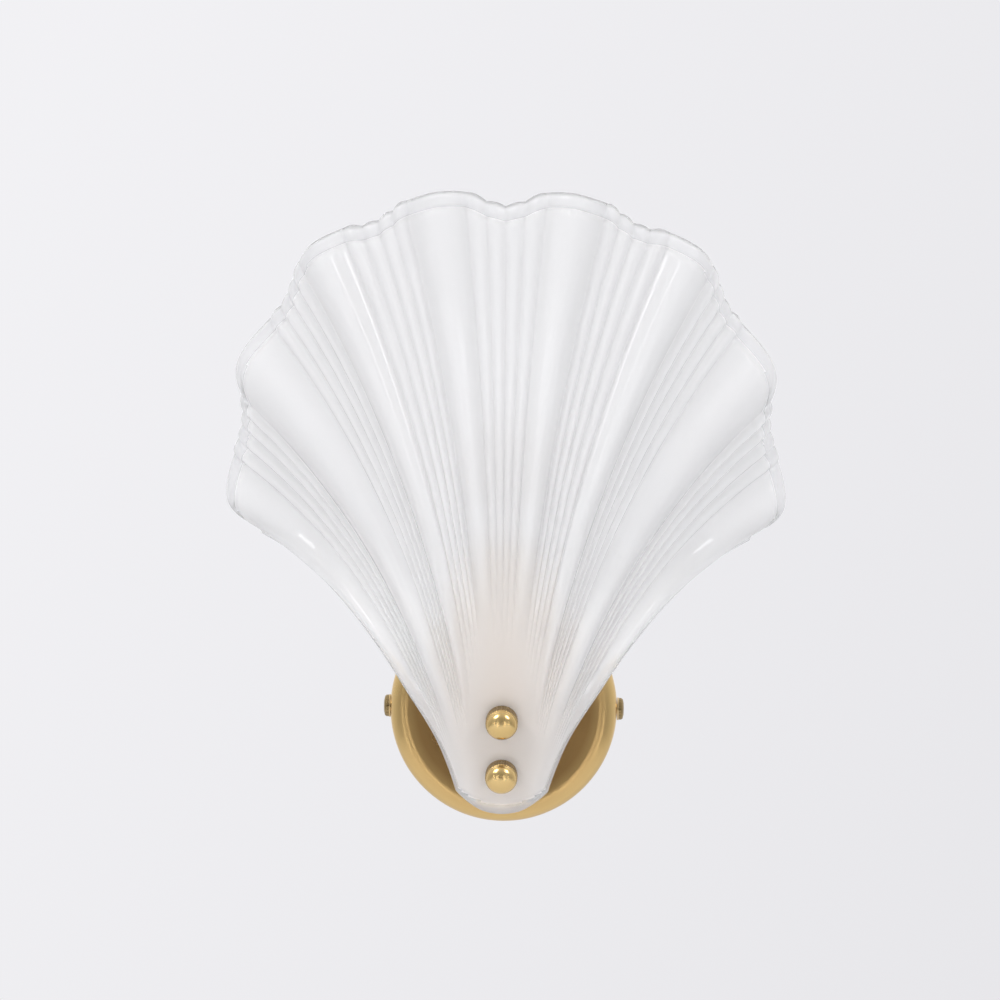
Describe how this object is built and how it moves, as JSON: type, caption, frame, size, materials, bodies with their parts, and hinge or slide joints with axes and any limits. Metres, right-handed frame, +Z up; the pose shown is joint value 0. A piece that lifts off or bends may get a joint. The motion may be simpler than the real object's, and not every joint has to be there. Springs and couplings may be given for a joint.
{
  "type": "shell wall sconce",
  "caption": "Wall light with a scallop-shell pressed glass shade held by brass thumb nuts in front of a round brass canopy and an upright lampholder.",
  "frame": {"origin": "centre of the wall bracket's back face, on the wall, between its two fixing slots", "axes": "+Z up the wall, +Y into the wall, -Y out into the room, +X to the right as seen from the room"},
  "size_m": [0.2448, 0.14, 0.2697],
  "materials": {
    "polished_brass": "polished, warm gold, lightly lacquered",
    "bare_brass": "plain turned or stamped brass",
    "zinc_steel": "bright zinc plate",
    "frosted_glass": "pressed glass, satin front with fire-polished ribs and lip",
    "opal_glass": "smooth opal",
    "soft_washer": "soft translucent grommet rubber, matte",
    "white_plastic": "moulded insulating plastic",
    "white_porcelain": "glazed white insulating body",
    "live_insulation": "brown lead insulation",
    "neutral_insulation": "blue lead insulation",
    "earth_insulation": "green and yellow lead insulation",
    "lamp_cap_metal": "rolled lamp cap, satin",
    "solder": "solder tip over a dark insulator"
  },
  "bodies": {
    "base": {"wall_bracket": "zinc_steel", "canopy": "polished_brass", "terminal_block": "white_plastic", "terminal_screws": "zinc_steel", "earth_screw": "zinc_steel", "earth_tag": "bare_brass", "earth_lead": "earth_insulation", "live_lead": "live_insulation", "neutral_lead": "neutral_insulation", "arm_tube": "polished_brass", "arm_lock_nut": "zinc_steel", "arm_lock_washer": "zinc_steel", "arm_collar": "polished_brass", "tube_bush": "white_plastic", "holder_nut": "polished_brass", "holder_cup": "polished_brass", "holder_lock_nut": "zinc_steel", "holder_body": "white_porcelain", "holder_shell": "bare_brass", "holder_contact": "bare_brass", "shade_bracket": "bare_brass", "bracket_screws": "zinc_steel", "bracket_nuts": "zinc_steel", "bracket_lock_washers": "zinc_steel", "shade_studs": "bare_brass", "rear_washers": "soft_washer", "hole_sleeves": "soft_washer", "glass_shade": "frosted_glass"},
    "upper_washer": {"upper_washer": "soft_washer"},
    "upper_nut": {"upper_nut": "polished_brass"},
    "lower_washer": {"lower_washer": "soft_washer"},
    "lower_nut": {"lower_nut": "polished_brass"},
    "left_washer": {"left_washer": "bare_brass"},
    "left_screw": {"left_screw": "polished_brass"},
    "right_washer": {"right_washer": "bare_brass"},
    "right_screw": {"right_screw": "polished_brass"},
    "bulb_tip": {"bulb_contact": "solder"},
    "bulb": {"bulb_globe": "opal_glass", "bulb_cap": "lamp_cap_metal"}
  },
  "joints": [
    {"name": "upper_nut_travel", "type": "slide", "parent": "base", "child": "upper_washer", "axis": [0, -0.9511, -0.309], "range_m": [0, 0.0056]},
    {"name": "upper_nut_turn", "type": "hinge", "parent": "upper_washer", "child": "upper_nut", "pos_m": [0, -0.057, -0.003], "axis": [0, -0.9511, -0.309], "range_deg": [0, 2880]},
    {"name": "lower_nut_travel", "type": "slide", "parent": "base", "child": "lower_washer", "axis": [0, -0.9511, -0.309], "range_m": [0, 0.0056]},
    {"name": "lower_nut_turn", "type": "hinge", "parent": "lower_washer", "child": "lower_nut", "pos_m": [0, -0.04927, -0.02678], "axis": [0, -0.9511, -0.309], "range_deg": [0, 2880]},
    {"name": "left_screw_travel", "type": "slide", "parent": "base", "child": "left_washer", "axis": [-1, 0, 0], "range_m": [0, 0.0035]},
    {"name": "left_screw_turn", "type": "hinge", "parent": "left_washer", "child": "left_screw", "pos_m": [-0.0501, -0.0125, 0], "axis": [-1, 0, 0], "range_deg": [0, 1800]},
    {"name": "right_screw_travel", "type": "slide", "parent": "base", "child": "right_washer", "axis": [1, 0, 0], "range_m": [0, 0.0035]},
    {"name": "right_screw_turn", "type": "hinge", "parent": "right_washer", "child": "right_screw", "pos_m": [0.0501, -0.0125, 0], "axis": [1, 0, 0], "range_deg": [0, 1800]},
    {"name": "bulb_travel", "type": "slide", "parent": "base", "child": "bulb_tip", "axis": [0, 0, 1], "range_m": [0, 0.01693]},
    {"name": "bulb_turn", "type": "hinge", "parent": "bulb_tip", "child": "bulb", "pos_m": [0, -0.045, 0.052], "axis": [0, 0, 1], "range_deg": [0, 2160]}
  ],
  "couplings": [
    {"joint": "upper_nut_turn", "follows": "upper_nut_travel", "rad_per_m": 8976},
    {"joint": "lower_nut_turn", "follows": "lower_nut_travel", "rad_per_m": 8976},
    {"joint": "left_screw_turn", "follows": "left_screw_travel", "rad_per_m": 8976},
    {"joint": "right_screw_turn", "follows": "right_screw_travel", "rad_per_m": 8976},
    {"joint": "bulb_turn", "follows": "bulb_travel", "rad_per_m": 2226.5}
  ]
}
